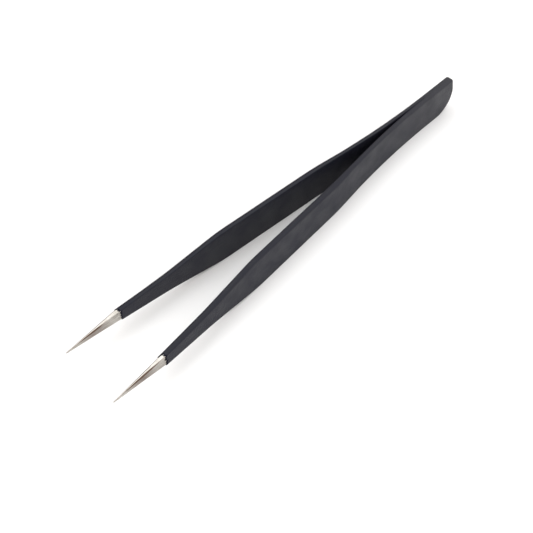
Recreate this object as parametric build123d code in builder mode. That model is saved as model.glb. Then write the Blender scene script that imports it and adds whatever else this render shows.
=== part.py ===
"""Fine-pointed precision tweezers: two sprung steel arms welded at the heel, in a black coating.

Frame, in millimetres: the tweezers lie on their long edges on the plane Z = 0, as on a bench.
+X runs from the heel to the points, +Y is the left arm's side and +Z is up, along the width of
the arms. The origin is on the bench, under the middle of the length, halfway between the arms.
"""
from build123d import *
from math import asin, cos, degrees, radians, sin, tan
import os

os.makedirs("parts", exist_ok=True)

# ---------------------------------------------------------------- driving dimensions
length = 140.0           # heel end to points
coat = 0.15              # thickness of the black coating
arm_width = 11.1         # over the coating, along Z
edge_radius = 0.3        # rounding of the coated edges

# Path of an arm's inner steel face, seen from above; distances run from the heel end.
flat_heel = 10.0         # the two arms lie flat on each other up to here
flare_radius = 250.0     # gentle bend that leads the arms apart
flare_angle = 6.8        # degrees off the middle plane at the end of that bend
bend_start = 51.0        # where the arm starts to bend back
bend_radius = 130.0
grip_angle = 4.7         # degrees off the middle plane along the finger grips
point_angle = 3.2        # degrees off the middle plane along the bare point

# Thickness of the steel strip
heel_thickness = 1.15
spring_thickness = 1.0   # ground thinner, so that the arms bend here
spring_end = 44.0
grip_thickness = 1.4
grip_start = 56.0
point_thickness = 0.3    # at the very point

# Outline of an arm, seen from the side
heel_top_radius = 1.2    # the heel's upper corner is nearly square
heel_low_radius = 7.3    # and its lower corner is one broad curve
shoulder = 89.0          # the width starts to taper here
shoulder_radius = 40.0
waist = 106.7            # and tapers more gently from here on
waist_half_width = 3.05
waist_radius = 80.0
coat_end = 123.3         # the steel is bare from here to the point
coat_end_half_width = 1.87
point_belly = 0.12       # how far the ground point bulges out of a straight taper
point_half_width = 0.15

# Spot welds between the two heels
weld_diameter = 2.4
weld_depth = 1.2         # across both arms
weld_places = (2.8, 5.7, 8.6)

# Hinge that stands for the bending of each arm
pivot_distance = 35.0    # the middle of the thin stretch
knuckle_radius = 0.4
knuckle_clearance = 0.04
hinge_gap = 0.2          # between the two sides of the hinge, along the arm

# ---------------------------------------------------------------- planes and derived places
mid_height = arm_width / 2
beyond = 12.0            # how far cutting shapes reach past what they cut

above = Plane(origin=(-length / 2, 0, 0), x_dir=(1, 0, 0), z_dir=(0, 0, 1))
beside = Plane(origin=(-length / 2, 0, mid_height), x_dir=(1, 0, 0), z_dir=(0, -1, 0))

flare = radians(flare_angle)
grip = radians(grip_angle)
flare_end = flat_heel + flare_radius * sin(flare)
bend_end = bend_start + bend_radius * (sin(flare) - sin(grip))


def face_angle(distance):
    """Angle of the coated arm's inner face off the middle plane, in radians."""
    if distance <= flat_heel:
        return 0.0
    if distance < flare_end:
        return asin((distance - flat_heel) / flare_radius)
    if distance <= bend_start:
        return flare
    if distance < bend_end:
        return asin(sin(flare) - (distance - bend_start) / bend_radius)
    return grip


def face_offset(distance):
    """How far the inner face of the steel stands off the middle plane, up to the bare point."""
    angle = face_angle(distance)
    if distance < flare_end:
        return flare_radius * (1 - cos(angle))
    offset = flare_radius * (1 - cos(flare))
    offset += (min(distance, bend_start) - flare_end) * tan(flare)
    if distance > bend_start:
        offset += bend_radius * (cos(angle) - cos(flare))
    if distance > bend_end:
        offset += (distance - bend_end) * tan(grip)
    return offset


def arm_point(distance, rise):
    """Point at a height above the inner face of the steel, square to it."""
    angle = face_angle(distance)
    return (distance - rise * sin(angle), face_offset(distance) + rise * cos(angle))


def path_edges(skin):
    """Both faces of one arm seen from above, grown by a skin, as far as the coating's end."""
    inside = -skin
    spring_rise = spring_thickness + skin
    heel_rise = heel_thickness + skin
    grip_rise = grip_thickness + skin
    middle_rise = (spring_rise + heel_rise) / 2
    Line((-beyond, inside), arm_point(flat_heel, inside))
    ThreePointArc(
        arm_point(flat_heel, inside),
        arm_point((flat_heel + flare_end) / 2, inside),
        arm_point(flare_end, inside),
    )
    Line(arm_point(flare_end, inside), arm_point(bend_start, inside))
    ThreePointArc(
        arm_point(bend_start, inside),
        arm_point((bend_start + bend_end) / 2, inside),
        arm_point(bend_end, inside),
    )
    Line(arm_point(bend_end, inside), arm_point(coat_end, inside))
    Line(arm_point(coat_end, grip_rise), arm_point(grip_start, grip_rise))
    Line(arm_point(grip_start, grip_rise), arm_point(spring_end, spring_rise))
    ThreePointArc(
        arm_point(spring_end, spring_rise),
        arm_point((flat_heel + spring_end) / 2, middle_rise),
        arm_point(flat_heel, heel_rise),
    )
    Line(arm_point(flat_heel, heel_rise), (-beyond, heel_rise))
    Line((-beyond, heel_rise), (-beyond, inside))


def side_edges(skin):
    """Edge of one arm seen from the side, grown by a skin, as far as the coating's end."""
    shrink = coat - skin
    half = mid_height - shrink
    waist_half = waist_half_width - shrink
    end_half = coat_end_half_width - shrink
    FilletPolyline(
        (coat_end, end_half),
        (waist, waist_half),
        (shoulder, half),
        (shrink, half),
        (shrink, -half),
        (shoulder, -half),
        (waist, -waist_half),
        (coat_end, -end_half),
        radius=(
            waist_radius,
            shoulder_radius,
            heel_top_radius - shrink,
            heel_low_radius - shrink,
            shoulder_radius,
            waist_radius,
        ),
    )


def steel_strip():
    """The left arm as a bare steel strip, from the heel to the point."""
    reach = length - coat_end
    overshoot = 1.0
    point_inner = face_offset(coat_end) + (reach + overshoot) * tan(radians(point_angle))
    point_taper = (grip_thickness - point_thickness) / reach
    point_outer = point_inner + point_thickness - point_taper * overshoot
    base_half = coat_end_half_width - coat
    belly_half = (base_half + point_half_width) / 2 + point_belly
    with BuildPart() as strip:
        with BuildSketch(above):
            with BuildLine():
                path_edges(0)
                Line(arm_point(coat_end, 0), (length + overshoot, point_inner))
                Line((length + overshoot, point_inner), (length + overshoot, point_outer))
                Line((length + overshoot, point_outer), arm_point(coat_end, grip_thickness))
            make_face()
        extrude(amount=arm_width)
        with BuildSketch(beside):
            with BuildLine():
                side_edges(0)
                ThreePointArc(
                    (coat_end, -base_half),
                    (coat_end + reach / 2, -belly_half),
                    (length, -point_half_width),
                )
                Line((length, -point_half_width), (length, point_half_width))
                ThreePointArc(
                    (length, point_half_width),
                    (coat_end + reach / 2, belly_half),
                    (coat_end, base_half),
                )
            make_face()
        extrude(amount=2 * beyond, both=True, mode=Mode.INTERSECT)
    return strip.part


def coated_strip():
    """The left arm with its coating on, from the heel to the coating's end, edges rounded."""
    far = coat_end + beyond
    end_half = coat_end_half_width
    with BuildPart() as strip:
        with BuildSketch(above):
            with BuildLine():
                path_edges(coat)
                Line(arm_point(coat_end, -coat), arm_point(coat_end, grip_thickness + coat))
            make_face()
        extrude(amount=arm_width)
        with BuildSketch(beside):
            with BuildLine():
                side_edges(coat)
                Polyline((coat_end, -end_half), (far, -end_half), (far, end_half), (coat_end, end_half))
            make_face()
        extrude(amount=2 * beyond, both=True, mode=Mode.INTERSECT)
        rims = strip.faces().filter_by(lambda face: abs(face.normal_at().Y) < 0.01).edges()
        fillet(rims.filter_by(lambda edge: abs((edge % 0.5).Y) < 0.9), edge_radius)
    return strip.part


# ---------------------------------------------------------------- the hinge of the left arm
thinned = (pivot_distance - flat_heel) / (spring_end - flat_heel)
pivot_thickness = heel_thickness + (spring_thickness - heel_thickness) * thinned
pivot_x, pivot_y = arm_point(pivot_distance, pivot_thickness / 2)
pivot_angle = degrees(face_angle(pivot_distance))
hinge = Plane(
    origin=(pivot_x - length / 2, pivot_y, 0),
    x_dir=(cos(radians(pivot_angle)), sin(radians(pivot_angle)), 0),
    z_dir=(0, 0, 1),
)


def hinge_block(start, stop):
    """Block across the whole tweezers, from start to stop along the arm, counted from the hinge."""
    with BuildPart() as block:
        with BuildSketch(hinge):
            with Locations(((start + stop) / 2, 0)):
                Rectangle(stop - start, 2 * length)
        extrude(amount=arm_width)
    return block.part


left_strip = steel_strip()
left_skin = coated_strip()
heel_side = hinge_block(-length, -hinge_gap / 2)
point_side = hinge_block(hinge_gap / 2, length)

# ---------------------------------------------------------------- heel: roots and their welds
with BuildPart() as spot_welds:
    with BuildSketch(beside):
        with Locations(*[(place, 0) for place in weld_places]):
            Circle(weld_diameter / 2)
    extrude(amount=weld_depth / 2, both=True)
spot_welds.part.label = "spot_welds"
export_step(spot_welds.part, "parts/spot_welds.step")

with BuildPart() as left_arm_root:
    add(left_strip)
    add(heel_side, mode=Mode.INTERSECT)
    with BuildSketch(hinge):
        Circle(knuckle_radius + knuckle_clearance)
    extrude(amount=arm_width, mode=Mode.SUBTRACT)
    add(spot_welds.part, mode=Mode.SUBTRACT)
left_arm_root.part.label = "left_arm_root"
export_step(left_arm_root.part, "parts/left_arm_root.step")

with BuildPart() as right_arm_root:
    mirror(left_arm_root.part, about=Plane.XZ)
right_arm_root.part.label = "right_arm_root"
export_step(right_arm_root.part, "parts/right_arm_root.step")

# ---------------------------------------------------------------- heel: one coating round both roots
with BuildPart() as heel_coating:
    add(left_skin)
    add(heel_side, mode=Mode.INTERSECT)
    add(left_strip, mode=Mode.SUBTRACT)
    mirror(about=Plane.XZ)
    add(left_strip, mode=Mode.SUBTRACT)
    add(mirror(left_strip, about=Plane.XZ, mode=Mode.PRIVATE), mode=Mode.SUBTRACT)
heel_coating.part.label = "heel_coating"
export_step(heel_coating.part, "parts/heel_coating.step")

# ---------------------------------------------------------------- arms: blades with their points
with BuildPart() as left_arm_blade:
    add(left_strip)
    add(point_side, mode=Mode.INTERSECT)
    with BuildSketch(hinge.offset(coat)):
        Circle(knuckle_radius)
    extrude(amount=arm_width - 2 * coat)
left_arm_blade.part.label = "left_arm_blade"
export_step(left_arm_blade.part, "parts/left_arm_blade.step")

with BuildPart() as right_arm_blade:
    mirror(left_arm_blade.part, about=Plane.XZ)
right_arm_blade.part.label = "right_arm_blade"
export_step(right_arm_blade.part, "parts/right_arm_blade.step")

# ---------------------------------------------------------------- arms: coating round each blade
with BuildPart() as left_blade_coating:
    add(left_skin)
    add(point_side, mode=Mode.INTERSECT)
    add(left_strip, mode=Mode.SUBTRACT)
left_blade_coating.part.label = "left_blade_coating"
export_step(left_blade_coating.part, "parts/left_blade_coating.step")

with BuildPart() as right_blade_coating:
    mirror(left_blade_coating.part, about=Plane.XZ)
right_blade_coating.part.label = "right_blade_coating"
export_step(right_blade_coating.part, "parts/right_blade_coating.step")

# ---------------------------------------------------------------- figures for the joints
point_y = face_offset(coat_end) + (length - coat_end) * tan(radians(point_angle))
print("hinge of the left arm at", round(pivot_x - length / 2, 4), round(pivot_y, 4))
print("inner edge of the left point at", round(length / 2, 4), round(point_y, 4))
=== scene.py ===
from math import cos, exp, pi, radians, sin

import bmesh
import bpy
from mathutils import Matrix, Vector, noise


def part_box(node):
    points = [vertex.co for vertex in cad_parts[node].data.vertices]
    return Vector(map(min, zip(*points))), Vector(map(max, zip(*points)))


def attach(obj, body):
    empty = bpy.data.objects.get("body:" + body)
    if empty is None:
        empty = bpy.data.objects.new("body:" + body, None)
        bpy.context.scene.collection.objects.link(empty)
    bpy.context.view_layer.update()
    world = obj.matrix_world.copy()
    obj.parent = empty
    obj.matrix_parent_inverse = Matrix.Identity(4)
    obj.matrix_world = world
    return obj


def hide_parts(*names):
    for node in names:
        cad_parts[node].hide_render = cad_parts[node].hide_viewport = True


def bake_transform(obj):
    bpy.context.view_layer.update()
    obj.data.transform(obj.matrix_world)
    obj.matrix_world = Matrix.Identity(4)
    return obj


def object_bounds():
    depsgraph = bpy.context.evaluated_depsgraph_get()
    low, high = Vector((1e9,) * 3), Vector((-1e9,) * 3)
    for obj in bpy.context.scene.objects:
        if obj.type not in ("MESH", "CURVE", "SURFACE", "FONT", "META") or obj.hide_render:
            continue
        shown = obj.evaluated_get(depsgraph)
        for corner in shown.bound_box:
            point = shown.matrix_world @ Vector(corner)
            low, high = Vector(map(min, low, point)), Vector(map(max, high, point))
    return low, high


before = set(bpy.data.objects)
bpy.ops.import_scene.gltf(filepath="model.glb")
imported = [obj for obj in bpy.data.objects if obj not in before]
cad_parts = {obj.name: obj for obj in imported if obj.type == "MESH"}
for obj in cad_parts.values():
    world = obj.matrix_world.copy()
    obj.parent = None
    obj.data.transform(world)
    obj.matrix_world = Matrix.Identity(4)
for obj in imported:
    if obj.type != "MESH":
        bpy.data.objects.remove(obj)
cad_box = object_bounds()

# ---------------------------------------------------------------- the two steel arms
# Each arm is one strip of stainless steel, stamped to its outline, ground thin behind the grips
# so that it springs, and ground at its end to a fine bare point. It is then bent away from its
# neighbour, and the two are laid together at the heel. Sizes are in mm, and MM makes them metres.
MM = 0.001
heel_x = cad_box[0].x / MM
length = (cad_box[1].x - cad_box[0].x) / MM
mid_height = cad_box[1].z / MM / 2
coat_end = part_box("left_blade_coating")[1].x / MM - heel_x
coat = 0.15

# The outline, by distance from the heel: the arm narrows from its shoulder to its waist, then
# slowly to the coating's end, then along the bare point, whose sides bulge a little. At the
# heel its top corner is nearly square and its low one is a wide round.
heel_corners = {"top": 0.8, "low": 7.3}
shoulder, shoulder_round = 89.0, 40.0
waist, waist_half, waist_round = 106.7, 3.05, 80.0
coat_end_half = 1.87
point_half, point_belly = 0.15, 0.12

# The steel's thickness at each distance where its grinding changes slope.
thickness_steps = (
    (-1.0, 1.15),
    (10.0, 1.15),
    (44.0, 1.0),
    (56.0, 1.4),
    (coat_end, 1.4),
    (length, 0.3),
)
thickness_round = 150.0

# The bends: the arms lie flat together at the heel, flare apart, then bend back at the grips.
flat_heel = 10.0
bend_sizes = {
    "Heel end": heel_x * MM,
    "Flat heel": flat_heel * MM,
    "Flare radius": 250.0 * MM,
    "Flare angle": radians(6.8),
    "Bend start": 51.0 * MM,
    "Bend radius": 130.0 * MM,
    "Grip angle": radians(4.7),
    "Point start": coat_end * MM,
    "Point angle": radians(3.2),
    "Point end": length * MM,
}
SIDES = {"left": 1.0, "right": -1.0}


def ease(low, high, value):
    """0 below low, 1 above high, and a smooth climb between them."""
    share = min(1.0, max(0.0, (value - low) / (high - low)))
    return share * share * (3 - 2 * share)


def corner_rounding(distance, corner, before, after, radius):
    """What a round adds where a line turns from one slope to another."""
    reach = radius * abs(after - before) / 2
    near = max(0.0, reach - abs(distance - corner))
    return (after - before) * near * near / (4 * reach)


def thickness(distance):
    """Thickness of the steel at a distance from the heel, with its ground steps blended."""
    thick, slope = thickness_steps[0][1], 0.0
    for (start, before), (end, after) in zip(thickness_steps, thickness_steps[1:]):
        next_slope = (after - before) / (end - start)
        if slope != next_slope and start != coat_end:
            thick += corner_rounding(distance, start, slope, next_slope, thickness_round)
        thick += (min(max(distance, start), end) - start) * next_slope
        slope = next_slope
    return thick


def half_width(distance, inset):
    """Half the width of an arm, at a depth inset below its coated outline."""
    taper = (waist_half - mid_height) / (waist - shoulder)
    slimming = (coat_end_half - waist_half) / (coat_end - waist)
    if distance > coat_end:
        along = (distance - coat_end) / (length - coat_end)
        bare = coat_end_half - coat
        belly = 4 * point_belly * along * (1 - along)
        return bare + (point_half - bare) * along + belly + coat - inset
    half = mid_height
    half += max(0.0, min(distance, waist) - shoulder) * taper
    half += max(0.0, distance - waist) * slimming
    half += corner_rounding(distance, shoulder, 0, taper, shoulder_round)
    half += corner_rounding(distance, waist, taper, slimming, waist_round)
    return half - inset


def outline_point(edge, turn, distance, inset, end):
    """Distance from the heel and height of a point on the top or the low edge of an arm.
    turn goes from 0 to 1 round the heel's corner, and distance takes over from there."""
    radius = heel_corners[edge]
    sign = 1 if edge == "top" else -1
    if turn < 1:
        angle = turn * pi / 2
        rise = mid_height - radius + (radius - inset) * sin(angle)
        return radius - (radius - inset) * cos(angle), mid_height + sign * rise
    distance = min(distance, end - inset)
    return distance, mid_height + sign * half_width(distance, inset)


corner_columns, heel_columns, end_columns = 9, 8, 8
widest_column, narrowest_column = 1.2, 0.05


def columns_to(end, finest):
    """Places along an arm for its loops of points: round the heel's corners, then up to end,
    closer together as they near it. Each has its turn and its top and low distances."""
    places = [(k / corner_columns, 0.0, 0.0) for k in range(corner_columns)]
    for k in range(heel_columns):
        top, low = (r + (flat_heel - r) * k / heel_columns for r in heel_corners.values())
        places.append((1, top, low))
    distance = flat_heel
    while end - distance > narrowest_column:
        places.append((1, distance, distance))
        distance += min(widest_column, max(finest, (end - distance) / end_columns))
    return places + [(1, end, end)]


# Each edge turns from the side face, at 90 degrees, to the top or low face, at 0, and some more
# points lie across that face between its two edges.
ROUND_BENDS = [radians(a) for a in (90, 72, 54, 36, 18, 0)]
ACROSS_TOP = 9


def section(place, inset, rounds, rows, end, lip=None):
    """Loop of points round the flat strip: up the outer face, over the top edge, down the inner
    face and under the low edge. rounds has the radii of the outer and the inner edge, at the top
    and at the low side, and lip moves each point."""
    turn, top_distance, low_distance = place
    band = []
    bends = [(a, True) for a in ROUND_BENDS] + [(a, False) for a in ROUND_BENDS[::-1]]
    for bend, outer in bends:
        ends = []
        for edge, distance in (("low", low_distance), ("top", top_distance)):
            radius = rounds[edge][0 if outer else 1]
            depth = inset + radius * (1 - cos(bend))
            along, height = outline_point(edge, turn, distance, depth, end)
            below = radius * (1 - sin(bend))
            rise = thickness(along) + coat - inset - below if outer else inset - coat + below
            ends.append(Vector((along, rise, height)))
        band.append(ends)
    near, far = band[len(ROUND_BENDS) - 1 : len(ROUND_BENDS) + 1]
    band[len(ROUND_BENDS) : len(ROUND_BENDS)] = [
        [a.lerp(b, k / (ACROSS_TOP + 1)) for a, b in zip(near, far)]
        for k in range(1, ACROSS_TOP + 1)
    ]
    outer_face, inner_face = (
        [low.lerp(top, k / (rows - 1)) for k in range(rows)] for low, top in (band[0], band[-1])
    )
    loop = outer_face + [pair[1] for pair in band[1:-1]]
    loop += inner_face[::-1] + [pair[0] for pair in band[-2:0:-1]]
    return [lip(point) for point in loop] if lip else loop


def blank(loops, rows, dull=None, seam=None, capped=True):
    """Flat mesh through loops of points, closed by a grid of faces over each end. "turned" says
    how far round an edge each point lies, from 0 on a side face to 1 on the top or low face.
    "dull" takes a share for each loop, and a share of seam on the inner top edge alone."""
    build = bmesh.new()
    turned_layer = build.verts.layers.float.new("turned")
    dull_layer = build.verts.layers.float.new("dull")
    made = [[build.verts.new(point * MM) for point in loop] for loop in loops]
    count = len(loops[0])
    half = count // 2
    nothing = [0.0] * len(made)
    for loop, share, seam_share in zip(made, dull or nothing, seam or nothing):
        for k, vertex in enumerate(loop):
            steps = min(max(0, k % half - rows + 1), half - k % half)
            vertex[turned_layer] = min(1.0, steps / (len(ROUND_BENDS) - 1))
            in_seam = half - len(ROUND_BENDS) < k <= half
            vertex[dull_layer] = max(share, seam_share if in_seam else 0.0)
    for near, far in zip(made, made[1:]):
        for k in range(count):
            build.faces.new((near[k], near[(k + 1) % count], far[(k + 1) % count], far[k]))
    edge_points = (count - 2 * rows) // 2
    for loop in (made[0], made[-1]) if capped else ():
        grid = [loop[:rows]]
        for k in range(1, edge_points + 1):
            low, top = loop[count - k], loop[rows - 1 + k]
            shares = [j / (rows - 1) for j in range(1, rows - 1)]
            grid.append([low, *(build.verts.new(low.co.lerp(top.co, s)) for s in shares), top])
        grid.append(loop[rows + edge_points : 2 * rows + edge_points][::-1])
        for low_row, high_row in zip(grid, grid[1:]):
            for j in range(rows - 1):
                build.faces.new((low_row[j], low_row[j + 1], high_row[j + 1], high_row[j]))
    bmesh.ops.recalc_face_normals(build, faces=build.faces)
    mesh = bpy.data.meshes.new("blank")
    build.to_mesh(mesh)
    build.free()
    return mesh


def node(tree, kind, values=None, links=None, **settings):
    """Adds a node with its settings, its values and its links; a node given as a link stands
    for its first output."""
    made = tree.nodes.new(kind)
    for name, value in settings.items():
        setattr(made, name, value)
    for socket, value in (values or {}).items():
        made.inputs[socket].default_value = value
    for socket, source in (links or {}).items():
        tree.links.new(getattr(source, "outputs", [source])[0], made.inputs[socket])
    return made


# The bending tool: it takes a flat blank, with its distance from the heel along X, its rise
# from the inner face along Y and its height along Z, and bends it to the arm's own curve.
bending = bpy.data.node_groups.new("bent_strip", "GeometryNodeTree")
bending.interface.new_socket("Blank", in_out="INPUT", socket_type="NodeSocketGeometry")
for name in (*bend_sizes, "Side", "Least gap"):
    bending.interface.new_socket(name, in_out="INPUT", socket_type="NodeSocketFloat")
bending.interface.new_socket("Material", in_out="INPUT", socket_type="NodeSocketMaterial")
bending.interface.new_socket("Arm", in_out="OUTPUT", socket_type="NodeSocketGeometry")
size = node(bending, "NodeGroupInput").outputs
flat_place = node(bending, "GeometryNodeInputPosition")
along, rise, height = node(bending, "ShaderNodeSeparateXYZ", links={0: flat_place}).outputs

flare_sine = node(bending, "ShaderNodeMath", links={0: size["Flare angle"]}, operation="SINE")
flare_cosine = node(bending, "ShaderNodeMath", links={0: size["Flare angle"]}, operation="COSINE")
grip_sine = node(bending, "ShaderNodeMath", links={0: size["Grip angle"]}, operation="SINE")
turned_back = node(
    bending, "ShaderNodeMath", links={0: flare_sine, 1: grip_sine}, operation="SUBTRACT"
)
flare_end = node(
    bending,
    "ShaderNodeMath",
    links={0: size["Flare radius"], 1: flare_sine, 2: size["Flat heel"]},
    operation="MULTIPLY_ADD",
)
bend_end = node(
    bending,
    "ShaderNodeMath",
    links={0: size["Bend radius"], 1: turned_back, 2: size["Bend start"]},
    operation="MULTIPLY_ADD",
)
opened = node(
    bending,
    "ShaderNodeMapRange",
    {"To Min": 0.0},
    {"Value": along, "From Min": size["Flat heel"], "From Max": flare_end, "To Max": flare_sine},
)
closed = node(
    bending,
    "ShaderNodeMapRange",
    {"To Min": 0.0},
    {"Value": along, "From Min": size["Bend start"], "From Max": bend_end, "To Max": turned_back},
)
lean_sine = node(bending, "ShaderNodeMath", links={0: opened, 1: closed}, operation="SUBTRACT")
left_open = node(bending, "ShaderNodeMath", links={0: flare_sine, 1: closed}, operation="SUBTRACT")

# Each arc moves the face aside by its radius times the change of its lean's cosine.
asides = []
for sine, start_cosine, radius, sign in (
    (opened, None, size["Flare radius"], -1.0),
    (left_open, flare_cosine, size["Bend radius"], 1.0),
):
    square = node(bending, "ShaderNodeMath", links={0: sine, 1: sine}, operation="MULTIPLY")
    rest = node(bending, "ShaderNodeMath", {0: 1.0}, {1: square}, operation="SUBTRACT")
    cosine = node(bending, "ShaderNodeMath", links={0: rest}, operation="SQRT")
    change = node(bending, "ShaderNodeMath", {1: 1.0}, {0: cosine}, operation="SUBTRACT")
    if start_cosine:
        bending.links.new(start_cosine.outputs[0], change.inputs[1])
    aside = node(bending, "ShaderNodeMath", links={0: change, 1: radius}, operation="MULTIPLY")
    asides.append(node(bending, "ShaderNodeMath", {1: sign}, {0: aside}, operation="MULTIPLY"))

# Each straight run moves it by the run's length times the tangent of its lean.
for start, end, lean in (
    (flare_end, size["Bend start"], size["Flare angle"]),
    (bend_end, size["Point start"], size["Grip angle"]),
    (size["Point start"], size["Point end"], size["Point angle"]),
):
    run = node(bending, "ShaderNodeMath", links={0: end, 1: start}, operation="SUBTRACT")
    slope = node(bending, "ShaderNodeMath", links={0: lean}, operation="TANGENT")
    most = node(bending, "ShaderNodeMath", links={0: run, 1: slope}, operation="MULTIPLY")
    ends = {"Value": along, "From Min": start, "From Max": end, "To Max": most}
    asides.append(node(bending, "ShaderNodeMapRange", {"To Min": 0.0}, ends))
offset = asides[0]
for aside in asides[1:]:
    offset = node(bending, "ShaderNodeMath", links={0: offset, 1: aside}, operation="ADD")

lean = node(bending, "ShaderNodeMath", links={0: lean_sine}, operation="ARCSINE")
in_point = node(
    bending, "ShaderNodeMath", links={0: along, 1: size["Point start"]}, operation="GREATER_THAN"
)
point_turn = node(
    bending,
    "ShaderNodeMath",
    links={0: size["Point angle"], 1: size["Grip angle"]},
    operation="SUBTRACT",
)
lean = node(
    bending,
    "ShaderNodeMath",
    links={0: in_point, 1: point_turn, 2: lean},
    operation="MULTIPLY_ADD",
)
sine = node(bending, "ShaderNodeMath", links={0: lean}, operation="SINE")
cosine = node(bending, "ShaderNodeMath", links={0: lean}, operation="COSINE")
drawn_back = node(bending, "ShaderNodeMath", links={0: rise, 1: sine}, operation="MULTIPLY")
forward = node(bending, "ShaderNodeMath", links={0: along, 1: drawn_back}, operation="SUBTRACT")
bent_x = node(
    bending, "ShaderNodeMath", links={0: forward, 1: size["Heel end"]}, operation="ADD"
)
stood_off = node(
    bending, "ShaderNodeMath", links={0: rise, 1: cosine, 2: offset}, operation="MULTIPLY_ADD"
)
apart = node(
    bending, "ShaderNodeMath", links={0: stood_off, 1: size["Least gap"]}, operation="MAXIMUM"
)
bent_y = node(bending, "ShaderNodeMath", links={0: apart, 1: size["Side"]}, operation="MULTIPLY")
bent_place = node(bending, "ShaderNodeCombineXYZ", links={0: bent_x, 1: bent_y, 2: height})

# The flat place stays on the arm as "flat", so that its finish follows it as it bends. The
# two sides are 20 mm apart in it, which gives each its own marks.
side_step = node(
    bending, "ShaderNodeMath", {1: 10 * MM, 2: 0.0}, {0: size["Side"]}, operation="MULTIPLY_ADD"
)
marked_rise = node(bending, "ShaderNodeMath", links={0: rise, 1: side_step}, operation="ADD")
marked = node(bending, "ShaderNodeCombineXYZ", links={0: along, 1: marked_rise, 2: height})
stored = node(
    bending,
    "GeometryNodeStoreNamedAttribute",
    {"Name": "flat"},
    {"Geometry": size["Blank"], "Value": marked},
    data_type="FLOAT_VECTOR",
    domain="POINT",
)
bent = node(
    bending, "GeometryNodeSetPosition", links={"Geometry": stored, "Position": bent_place}
)
smooth = node(bending, "GeometryNodeSetShadeSmooth", links={"Geometry": bent})
realized = node(bending, "GeometryNodeRealizeInstances", links={"Geometry": smooth})
finish = node(
    bending,
    "GeometryNodeSetMaterial",
    links={"Geometry": realized, "Material": size["Material"]},
)
node(bending, "NodeGroupOutput", links={"Arm": finish})


def made_by(name, mesh, steps):
    """Plain mesh object made from a mesh by geometry node trees, each with its named sizes, which
    go in by their sockets' identifiers."""
    rough = bpy.data.objects.new(name + "_rough", mesh)
    bpy.context.scene.collection.objects.link(rough)
    for tree, values in steps:
        modifier = rough.modifiers.new(tree.name, "NODES")
        modifier.node_group = tree
        for item in tree.interface.items_tree:
            if item.name in values:
                modifier[item.identifier] = values[item.name]
    graph = bpy.context.evaluated_depsgraph_get()
    final = bpy.data.meshes.new_from_object(rough.evaluated_get(graph))
    bpy.data.objects.remove(rough)
    build = bmesh.new()
    build.from_mesh(final)
    bmesh.ops.recalc_face_normals(build, faces=build.faces)
    build.to_mesh(final)
    build.free()
    piece = bpy.data.objects.new(name, final)
    bpy.context.scene.collection.objects.link(piece)
    return piece


def bend_inputs(sign, material):
    """Named sizes that the bending tool takes for the arm on one side."""
    return {"Side": sign, "Least gap": 0.0, "Material": material, **bend_sizes}


def linear(hex_colour):
    """sRGB hex colour as the linear RGBA that a shader takes."""
    shares = [int(hex_colour[k : k + 2], 16) / 255 for k in (1, 3, 5)]
    return [s / 12.92 if s <= 0.04045 else ((s + 0.055) / 1.055) ** 2.4 for s in shares] + [1.0]


def per_mm(size):
    """Scale of a texture whose pattern is so many millimetres across."""
    return 1 / (size * MM)


# Austenitic stainless steel, ground on a fine wheel: a warm silver that blurs what it mirrors,
# with faint lines along the point, in patches as wide as the wheel's touch, 2.5 mm. The real
# lines are about 0.03 mm apart, too fine to show here, so they are drawn 0.15 mm apart.
ground_stainless_steel = bpy.data.materials.new("ground_stainless_steel")
ground_stainless_steel.use_nodes = True
tree = ground_stainless_steel.node_tree
tree.nodes.clear()
flat = node(tree, "ShaderNodeAttribute", attribute_name="flat").outputs["Vector"]
stretch = (per_mm(6.0), per_mm(0.15), per_mm(0.15))
along_point = node(tree, "ShaderNodeMapping", {"Scale": stretch}, {"Vector": flat})
grind_lines = node(
    tree, "ShaderNodeTexNoise", {"Scale": 1.0, "Detail": 3.0, "Roughness": 0.6}, {0: along_point}
)
wheel_patches = node(
    tree, "ShaderNodeTexNoise", {"Scale": per_mm(2.5), "Detail": 2.0}, {"Vector": flat}
)
marks = node(tree, "ShaderNodeMath", links={0: wheel_patches, 1: grind_lines}, operation="ADD")
brightness = node(
    tree, "ShaderNodeMapRange", {"From Min": 0.75, "From Max": 1.25}, {"Value": marks}
)
silver = node(
    tree,
    "ShaderNodeMix",
    {6: linear("#a19c94"), 7: linear("#d0cdc8")},
    {0: brightness},
    data_type="RGBA",
)
# Painted dark reflection: the side faces are painted a darker brown (#5e4c42) in patches, most
# half way along the point, and a dark line is painted along the middle of each edge's round,
# heaviest half way along. The painted line is left off the inner edge near the coating.
darkest_middle, dark_reach = coat_end + 7.5, 7.5
along = node(tree, "ShaderNodeSeparateXYZ", links={0: flat}).outputs["X"]
from_middle = node(tree, "ShaderNodeMath", {1: darkest_middle * MM}, {0: along}, operation="SUBTRACT")
apart = node(tree, "ShaderNodeMath", links={0: from_middle}, operation="ABSOLUTE")
painted_dark_middle = node(
    tree,
    "ShaderNodeMapRange",
    {"From Min": dark_reach * MM, "From Max": 0.0, "To Min": 0.0, "To Max": 1.2},
    {"Value": apart},
    interpolation_type="SMOOTHSTEP",
)
turned = node(tree, "ShaderNodeAttribute", attribute_name="turned").outputs["Fac"]
on_side = node(tree, "ShaderNodeMath", {0: 1.0}, {1: turned}, operation="SUBTRACT")
patchy_painted_dark = node(tree, "ShaderNodeMath", links={0: painted_dark_middle, 1: wheel_patches}, operation="MULTIPLY")
side_painted_reflection = node(tree, "ShaderNodeMath", links={0: patchy_painted_dark, 1: on_side}, operation="MULTIPLY")
edge_middle = node(tree, "ShaderNodeMath", links={0: turned, 1: on_side}, operation="MULTIPLY")
dull = node(tree, "ShaderNodeAttribute", attribute_name="dull").outputs["Fac"]
painted_line_kept = node(tree, "ShaderNodeMath", {0: 1.0}, {1: dull}, operation="SUBTRACT")
# The painted dark reflection along the middle of each edge's round.
painted_edge_reflection = node(
    tree, "ShaderNodeMath", links={0: edge_middle, 1: painted_line_kept}, operation="MULTIPLY"
)
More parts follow.
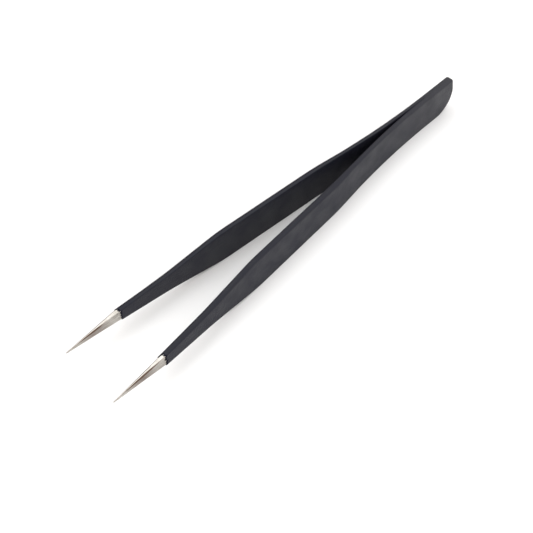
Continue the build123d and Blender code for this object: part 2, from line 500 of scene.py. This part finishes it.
painted_line_strength = node(tree, "ShaderNodeMapRange", {"To Min": 1.8, "To Max": 5.0}, {"Value": painted_dark_middle})
painted_reflection_share = node(
    tree,
    "ShaderNodeMath",
    links={0: painted_edge_reflection, 1: painted_line_strength, 2: side_painted_reflection},
    operation="MULTIPLY_ADD",
    use_clamp=True,
)
# The silver with the painted dark reflection mixed in.
steel_colour = node(
    tree,
    "ShaderNodeMix",
    {7: linear("#5e4c42")},
    {0: painted_reflection_share, 6: silver.outputs[2]},
    data_type="RGBA",
)
steel_roughness = node(
    tree, "ShaderNodeMapRange", {"To Min": 0.2, "To Max": 0.34}, {"Value": grind_lines}
)
steel_bump = node(
    tree, "ShaderNodeBump", {"Strength": 0.25, "Distance": 0.01 * MM}, {"Height": grind_lines}
)
steel_shader = node(
    tree,
    "ShaderNodeBsdfPrincipled",
    {"Metallic": 1.0},
    {"Base Color": steel_colour.outputs[2], "Roughness": steel_roughness, "Normal": steel_bump},
)
node(tree, "ShaderNodeOutputMaterial", links={"Surface": steel_shader})


covered_rounds = {"top": (0.45, 0.1), "low": (0.08, 0.08)}
point_round_at_coat, point_round_gain, point_round_reach = 0.35, 0.5, 8


def steel_rounds(place):
    """Radii of the outer and the inner edges of the steel, which blend just under the coating's
    end into the bare point's even rounds, a share of the fullest that its section can take."""
    distance = min(place[1], length)
    bare = ease(coat_end - 2, coat_end - 0.5, distance)
    fullest = min(thickness(distance) / 2, half_width(distance, coat))
    gained = point_round_gain * ease(coat_end, coat_end + point_round_reach, distance)
    point = fullest * (point_round_at_coat + gained)
    return {
        edge: [radius + (point - radius) * bare for radius in pair]
        for edge, pair in covered_rounds.items()
    }


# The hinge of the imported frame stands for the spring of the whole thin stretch.
# The steel's loops have this many points up each side face, and get closer to its fine end.
steel_rows = 7
steel_end = length + coat
steel_places = columns_to(steel_end, 0.25)
steel_loops = [
    section(place, coat, steel_rounds(place), steel_rows, steel_end) for place in steel_places
]
# The painted dark edge reflection on the inner edge starts 3 mm past the coating and is full 8 mm
# past.
painted_line_start, painted_line_full = coat_end + 3, coat_end + 8
unlined_inner_edge = [1 - ease(painted_line_start, painted_line_full, place[1]) for place in steel_places]
for side, sign in SIDES.items():
    steel_blank = blank(steel_loops, steel_rows, seam=unlined_inner_edge)
    bend_steps = [(bending, bend_inputs(sign, ground_stainless_steel))]
    arm = made_by(side + "_arm_steel", steel_blank, bend_steps)
    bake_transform(arm)
    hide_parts(side + "_arm_root", side + "_arm_blade")

# ---------------------------------------------------------------- the two black coatings
# Each arm is sprayed with black conductive epoxy powder and baked, from the heel to where the
# bare point starts. The skin is thin, softens every edge, and ends in an uneven torn lip where
# the point was ground clean.
lip_reach = 2.0
lip_set_back = {"left": (-0.2, -0.25), "right": (-0.7, -0.8)}
set_back_heights = 3.5, 7.5
lip_grain, times_finer = 0.4, 2.7
lip_tear, fine_tear = 0.6, 0.3
lip_seeds = {"left": 40.0, "right": -40.0}
# Each spur that runs on from the lip has its height, its rise from the inner face, its length
# (less than 0 where it is a bay) and its width.
spurs = {
    "left": ((7.35, 0.0, 1.65, 0.3), (7.35, 0.7, -0.3, 0.3), (3.9, 1.5, 0.2, 0.3)),
    "right": ((7.2, 1.4, 0.75, 0.6), (7.35, 0.6, 0.4, 0.18), (3.7, -0.15, -0.25, 0.3)),
}

# The rounds of the skin's edges: the outer top one gets finer over the last stretch to the lip,
# and the inner ones are nearly sharp while the two arms lie flush.
outer_round, outer_round_at_lip, finer_from = 0.66, 0.4, coat_end - 9
inner_round_at_heel, inner_round = 0.03, 0.25
flush_end, parted = 8, 13
low_round, low_inner_round = 0.15, 0.12
least_round = 0.02


def coat_rounds(place, inset):
    """Radii of the outer and the inner edges of the coating; the heel's halves meet flush."""
    distance = place[1]
    finer = (outer_round_at_lip - outer_round) * ease(finer_from, coat_end, distance)
    opened_round = (inner_round - inner_round_at_heel) * ease(flush_end, parted, distance)
    inner = inner_round_at_heel + opened_round
    radii = {"top": (outer_round + finer, inner), "low": (low_round, min(inner, low_inner_round))}
    return {edge: [max(least_round, r - inset) for r in pair] for edge, pair in radii.items()}


def torn_lip(side, share):
    """How a point near the coating's end moves to make its lip uneven, as a share of the whole."""

    def move(point):
        low, top = lip_set_back[side]
        reach = low + (top - low) * ease(*set_back_heights, point.z)
        sample = Vector((lip_seeds[side], point.y / lip_grain, point.z / lip_grain))
        reach += lip_tear * noise.noise(sample) + fine_tear * noise.noise(sample * times_finer)
        for height, rise, far, wide in spurs[side]:
            apart = ((point.z - height) ** 2 + (point.y - rise) ** 2) / wide**2
            reach += far * exp(-apart)
        along = point.x + share * reach
        narrower = half_width(along, 0) / half_width(point.x, 0)
        thinner = (thickness(along) + 2 * coat) / (thickness(point.x) + 2 * coat)
        height = mid_height + (point.z - mid_height) * narrower
        return Vector((along, (point.y + coat) * thinner - coat, height))

    return move


# Conductive epoxy powder coat: a satin charcoal black, pebbled like fine orange peel, with
# cloudy patches 5 mm across where the powder lay thicker. Real pebbles are about 0.1 mm across,
# too fine to show here, so they are drawn 0.45 mm across.
black_epoxy_coating = bpy.data.materials.new("black_epoxy_coating")
black_epoxy_coating.use_nodes = True
tree = black_epoxy_coating.node_tree
tree.nodes.clear()
flat = node(tree, "ShaderNodeAttribute", attribute_name="flat").outputs["Vector"]
clouds = node(tree, "ShaderNodeTexNoise", {"Scale": per_mm(5.0), "Detail": 4.0}, {"Vector": flat})
pebbles = node(
    tree, "ShaderNodeTexNoise", {"Scale": per_mm(0.45), "Detail": 3.0}, {"Vector": flat}
)
charcoal = node(
    tree,
    "ShaderNodeMix",
    {6: linear("#0d0e18"), 7: linear("#151624")},
    {0: clouds},
    data_type="RGBA",
)
# Painted light: the coating is painted a lighter grey (#2b2b31) towards the heel, where more light
# falls on it.
along = node(tree, "ShaderNodeSeparateXYZ", links={0: flat}).outputs["X"]
toward_heel = node(
    tree,
    "ShaderNodeMapRange",
    {"From Min": 60 * MM, "From Max": 0.0, "To Min": 0.0, "To Max": 1.0},
    {"Value": along},
)
painted_heel_light = node(tree, "ShaderNodeMath", {1: 1.6}, {0: toward_heel}, operation="POWER")
epoxy_colour = node(
    tree,
    "ShaderNodeMix",
    {7: linear("#2b2b31")},
    {0: painted_heel_light, 6: charcoal.outputs[2]},
    data_type="RGBA",
)
epoxy_roughness = node(
    tree,
    "ShaderNodeMapRange",
    {"From Min": 0.35, "From Max": 0.65, "To Min": 0.38, "To Max": 0.54},
    {"Value": clouds},
)
epoxy_bump = node(
    tree, "ShaderNodeBump", {"Strength": 1.0, "Distance": 0.1 * MM}, {"Height": pebbles}
)
dull = node(tree, "ShaderNodeAttribute", attribute_name="dull").outputs["Fac"]
epoxy_shine = node(tree, "ShaderNodeMapRange", {"To Min": 0.5, "To Max": 0.1}, {"Value": dull})
epoxy_shader = node(
    tree,
    "ShaderNodeBsdfPrincipled",
    {"IOR": 1.36},
    {
        "Base Color": epoxy_colour.outputs[2],
        "Roughness": epoxy_roughness,
        "Specular IOR Level": epoxy_shine,
        "Normal": epoxy_bump,
    },
)
node(tree, "ShaderNodeOutputMaterial", links={"Surface": epoxy_shader})

# The skin's outer wall runs from the heel to the lip, rolls over there, and comes back as an
# inner wall that bites a little into the steel, so that no gap shows. Its torn rim is dull, and
# so is the inner top edge where the two coatings part behind the welded heel.
coat_rows = 17
bite = 0.02
no_end = 2 * length
torn_rim = 0.45
seam_start, seam_end = (9, 12), (24, 30)
outer_wall = columns_to(coat_end, 0.15)
lip_roll = ((0.05, 0.03), (0.08, 0.08), (0.06, coat + bite))
layers = [(place, 0.0) for place in outer_wall]
layers += [((1, coat_end + past, coat_end + past), inset) for past, inset in lip_roll]
layers += [(place, coat + bite) for place in outer_wall[-2::-1]]
after_wall = len(layers) - len(outer_wall)
rim_start, rim_full = coat_end - torn_rim, coat_end - torn_rim / 2
dull_shares = [ease(rim_start, rim_full, place[1]) for place in outer_wall] + [1.0] * after_wall
seam_shares = [ease(*seam_start, place[1]) - ease(*seam_end, place[1]) for place in outer_wall]
seam_shares += [0.0] * after_wall
for side, sign in SIDES.items():
    loops = []
    for place, inset in layers:
        lip = torn_lip(side, ease(coat_end - lip_reach, coat_end, place[1]))
        loops.append(section(place, inset, coat_rounds(place, inset), coat_rows, no_end, lip))
    coat_blank = blank(loops, coat_rows, dull_shares, seam_shares)
    bend_steps = [(bending, bend_inputs(sign, black_epoxy_coating))]
    skin = made_by(side + "_coating", coat_blank, bend_steps)
    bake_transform(skin)
    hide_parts("heel_coating", side + "_blade_coating")

# ---------------------------------------------------------------- the flecks past the lips
# Where the points were ground clean the wheel left specks of the coating on the steel, thickest
# beside the lip and gone about a millimetre further on.
scatter = bpy.data.node_groups.new("scattered_flecks", "GeometryNodeTree")
scatter.interface.new_socket("Strip", in_out="INPUT", socket_type="NodeSocketGeometry")
for name in ("Lip", "Reach", "Most per area", "Least size", "Most size", "Flatness"):
    scatter.interface.new_socket(name, in_out="INPUT", socket_type="NodeSocketFloat")
scatter.interface.new_socket("Seed", in_out="INPUT", socket_type="NodeSocketInt")
scatter.interface.new_socket("Material", in_out="INPUT", socket_type="NodeSocketMaterial")
scatter.interface.new_socket("Flecks", in_out="OUTPUT", socket_type="NodeSocketGeometry")
size = node(scatter, "NodeGroupInput").outputs
place = node(scatter, "GeometryNodeInputPosition")
along = node(scatter, "ShaderNodeSeparateXYZ", links={0: place}).outputs["X"]
far = node(scatter, "ShaderNodeMath", links={0: size["Lip"], 1: size["Reach"]}, operation="ADD")
crowd = node(
    scatter,
    "ShaderNodeMapRange",
    {"To Max": 0.0},
    {"Value": along, "From Min": size["Lip"], "From Max": far, "To Min": size["Most per area"]},
)
spots = node(
    scatter,
    "GeometryNodeDistributePointsOnFaces",
    links={"Mesh": size["Strip"], "Density": crowd, "Seed": size["Seed"]},
    distribute_method="RANDOM",
)
drop = node(scatter, "GeometryNodeMeshIcoSphere", {"Radius": 1.0, "Subdivisions": 3})
across = node(
    scatter,
    "FunctionNodeRandomValue",
    links={2: size["Least size"], 3: size["Most size"], 8: size["Seed"]},
    data_type="FLOAT",
)
tall = node(
    scatter,
    "ShaderNodeMath",
    links={0: across.outputs[1], 1: size["Flatness"]},
    operation="MULTIPLY",
)
drop_size = node(
    scatter, "ShaderNodeCombineXYZ", links={0: across.outputs[1], 1: across.outputs[1], 2: tall}
)
placed = node(
    scatter,
    "GeometryNodeInstanceOnPoints",
    links={
        "Points": spots,
        "Instance": drop,
        "Rotation": spots.outputs["Rotation"],
        "Scale": drop_size,
    },
)
realized = node(scatter, "GeometryNodeRealizeInstances", links={"Geometry": placed})
finish = node(
    scatter,
    "GeometryNodeSetMaterial",
    links={"Geometry": realized, "Material": size["Material"]},
)
node(scatter, "NodeGroupOutput", links={"Flecks": finish})

fleck_reach, fleck_columns = 1.2, 8
for side, sign in SIDES.items():
    lip = coat_end + sum(lip_set_back[side]) / 2
    distances = [lip + fleck_reach * k / fleck_columns for k in range(fleck_columns + 1)]
    strip = [
        section((1, d, d), coat, steel_rounds((1, d, d)), steel_rows, steel_end)
        for d in distances
    ]
    fleck_sizes = {
        "Lip": lip * MM,
        "Reach": fleck_reach * MM,
        "Most per area": 4.0 / MM**2,
        "Least size": 0.03 * MM,
        "Most size": 0.11 * MM,
        "Flatness": 0.4,
        "Seed": 3,
        "Material": black_epoxy_coating,
    }
    flecks = made_by(
        side + "_lip_flecks",
        blank(strip, steel_rows, capped=False),
        [(scatter, fleck_sizes), (bending, bend_inputs(sign, black_epoxy_coating))],
    )
    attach(flecks, side + "_arm")

# ---------------------------------------------------------------- the three spot welds
# The heels are spot-welded together, face to face, before they are coated: three small nuggets
# of steel that melted and set again between the strips.

# Weld steel: a duller, coarser grey than the ground strips, with 0.25 mm grains and brown heat
# marks about 1.2 mm across.
weld_steel = bpy.data.materials.new("weld_steel")
weld_steel.use_nodes = True
tree = weld_steel.node_tree
tree.nodes.clear()
where = node(tree, "ShaderNodeTexCoord").outputs["Object"]
grains = node(
    tree, "ShaderNodeTexVoronoi", {"Scale": per_mm(0.25)}, {"Vector": where}
).outputs["Distance"]
heat_marks = node(
    tree, "ShaderNodeTexNoise", {"Scale": per_mm(1.2), "Detail": 2.0}, {"Vector": where}
)
weld_colour = node(
    tree,
    "ShaderNodeMix",
    {6: linear("#8d8a86"), 7: linear("#7a6a58")},
    {0: heat_marks},
    data_type="RGBA",
)
weld_roughness = node(
    tree, "ShaderNodeMapRange", {"To Min": 0.35, "To Max": 0.6}, {"Value": grains}
)
weld_bump = node(
    tree, "ShaderNodeBump", {"Strength": 0.4, "Distance": 0.02 * MM}, {"Height": grains}
)
weld_shader = node(
    tree,
    "ShaderNodeBsdfPrincipled",
    {"Metallic": 1.0},
    {"Base Color": weld_colour.outputs[2], "Roughness": weld_roughness, "Normal": weld_bump},
)
node(tree, "ShaderNodeOutputMaterial", links={"Surface": weld_shader})
for weld_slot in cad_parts["spot_welds"].material_slots:
    weld_slot.material = weld_steel

# ---------------------------------------------------------------- floor, light and camera
# The tweezers lie on a sheet of white card under a broad soft dome of light, warmer and dimmer
# near the horizon, brightest above the left arm's side, and darker where the viewer stands.
floor_mesh = bpy.data.meshes.new("floor")
build = bmesh.new()
bmesh.ops.create_grid(build, x_segments=1, y_segments=1, size=3.0)
build.to_mesh(floor_mesh)
build.free()
floor = bpy.data.objects.new("floor", floor_mesh)
bpy.context.scene.collection.objects.link(floor)
white_card = bpy.data.materials.new("white_card")
white_card.use_nodes = True
tree = white_card.node_tree
tree.nodes.clear()
card_shader = node(
    tree, "ShaderNodeBsdfPrincipled", {"Base Color": linear("#f2f2f2"), "Roughness": 0.9}
)
node(tree, "ShaderNodeOutputMaterial", links={"Surface": card_shader})
floor_mesh.materials.append(white_card)

world = bpy.data.worlds.new("soft_room")
bpy.context.scene.world = world
world.use_nodes = True
world.node_tree.nodes.clear()
tree = world.node_tree
sky = node(tree, "ShaderNodeTexCoord").outputs["Generated"]
dome_axis = Vector((0.0, 0.33, 0.94)).normalized()
sky_height = node(
    tree, "ShaderNodeVectorMath", {1: dome_axis}, {0: sky}, operation="DOT_PRODUCT"
).outputs["Value"]
ceiling = node(
    tree,
    "ShaderNodeMapRange",
    {"From Min": 0.1, "From Max": 0.55},
    {"Value": sky_height},
    interpolation_type="SMOOTHSTEP",
)
viewer_way = Vector((0.3, 0.49, 0.82)).normalized()
facing = node(
    tree, "ShaderNodeVectorMath", {1: viewer_way}, {0: sky}, operation="DOT_PRODUCT"
).outputs["Value"]
unshaded = node(
    tree,
    "ShaderNodeMapRange",
    {"From Min": 0.86, "From Max": 0.98, "To Min": 1.0, "To Max": 0.25},
    {"Value": facing},
    interpolation_type="SMOOTHSTEP",
)
glow = node(tree, "ShaderNodeMath", links={0: ceiling, 1: unshaded}, operation="MULTIPLY")
room_strength = node(tree, "ShaderNodeMapRange", {"To Min": 0.5, "To Max": 1.74}, {"Value": glow})
room_colour = node(
    tree,
    "ShaderNodeMix",
    {6: linear("#e4dad0"), 7: linear("#ffffff")},
    {0: glow},
    data_type="RGBA",
)
room = node(
    tree,
    "ShaderNodeBackground",
    links={"Color": room_colour.outputs[2], "Strength": room_strength},
)
node(tree, "ShaderNodeOutputWorld", links={"Surface": room})

# A softbox hangs above the right arm's side and lifts the shadows between the arms a little.
lamp = bpy.data.lights.new("softbox", "AREA")
lamp.shape = "RECTANGLE"
lamp.size, lamp.size_y = 0.5, 0.4
lamp.energy = 0.3
softbox = bpy.data.objects.new("softbox", lamp)
softbox.location = (0.0, -0.25, 0.6)
softbox.rotation_euler = (Vector((0, 0, 0)) - softbox.location).to_track_quat("-Z", "Y").to_euler()
bpy.context.scene.collection.objects.link(softbox)

# The camera looks down from beyond the points, on the left arm's side, turned a little askew.
azimuth, elevation, roll = (radians(a) for a in (143.587, 53.453, -8.437))
aim, away = Vector((14.836, 7.343, 5.090)) * MM, 246.129 * MM
back = Vector((sin(azimuth) * cos(elevation), -cos(azimuth) * cos(elevation), sin(elevation)))
level = Vector((cos(azimuth), sin(azimuth), 0))
rise_way = back.cross(level)
camera_x = level * cos(roll) + rise_way * sin(roll)
camera_y = rise_way * cos(roll) - level * sin(roll)
lens = bpy.data.cameras.new("camera")
lens.sensor_width, lens.lens = 36.0, 60.98
camera = bpy.data.objects.new("camera", lens)
camera.matrix_world = Matrix.Translation(aim + back * away) @ Matrix(
    (camera_x, camera_y, back)
).transposed().to_4x4()
bpy.context.scene.collection.objects.link(camera)
bpy.context.scene.camera = camera
bpy.context.scene.view_settings.view_transform = "Standard"
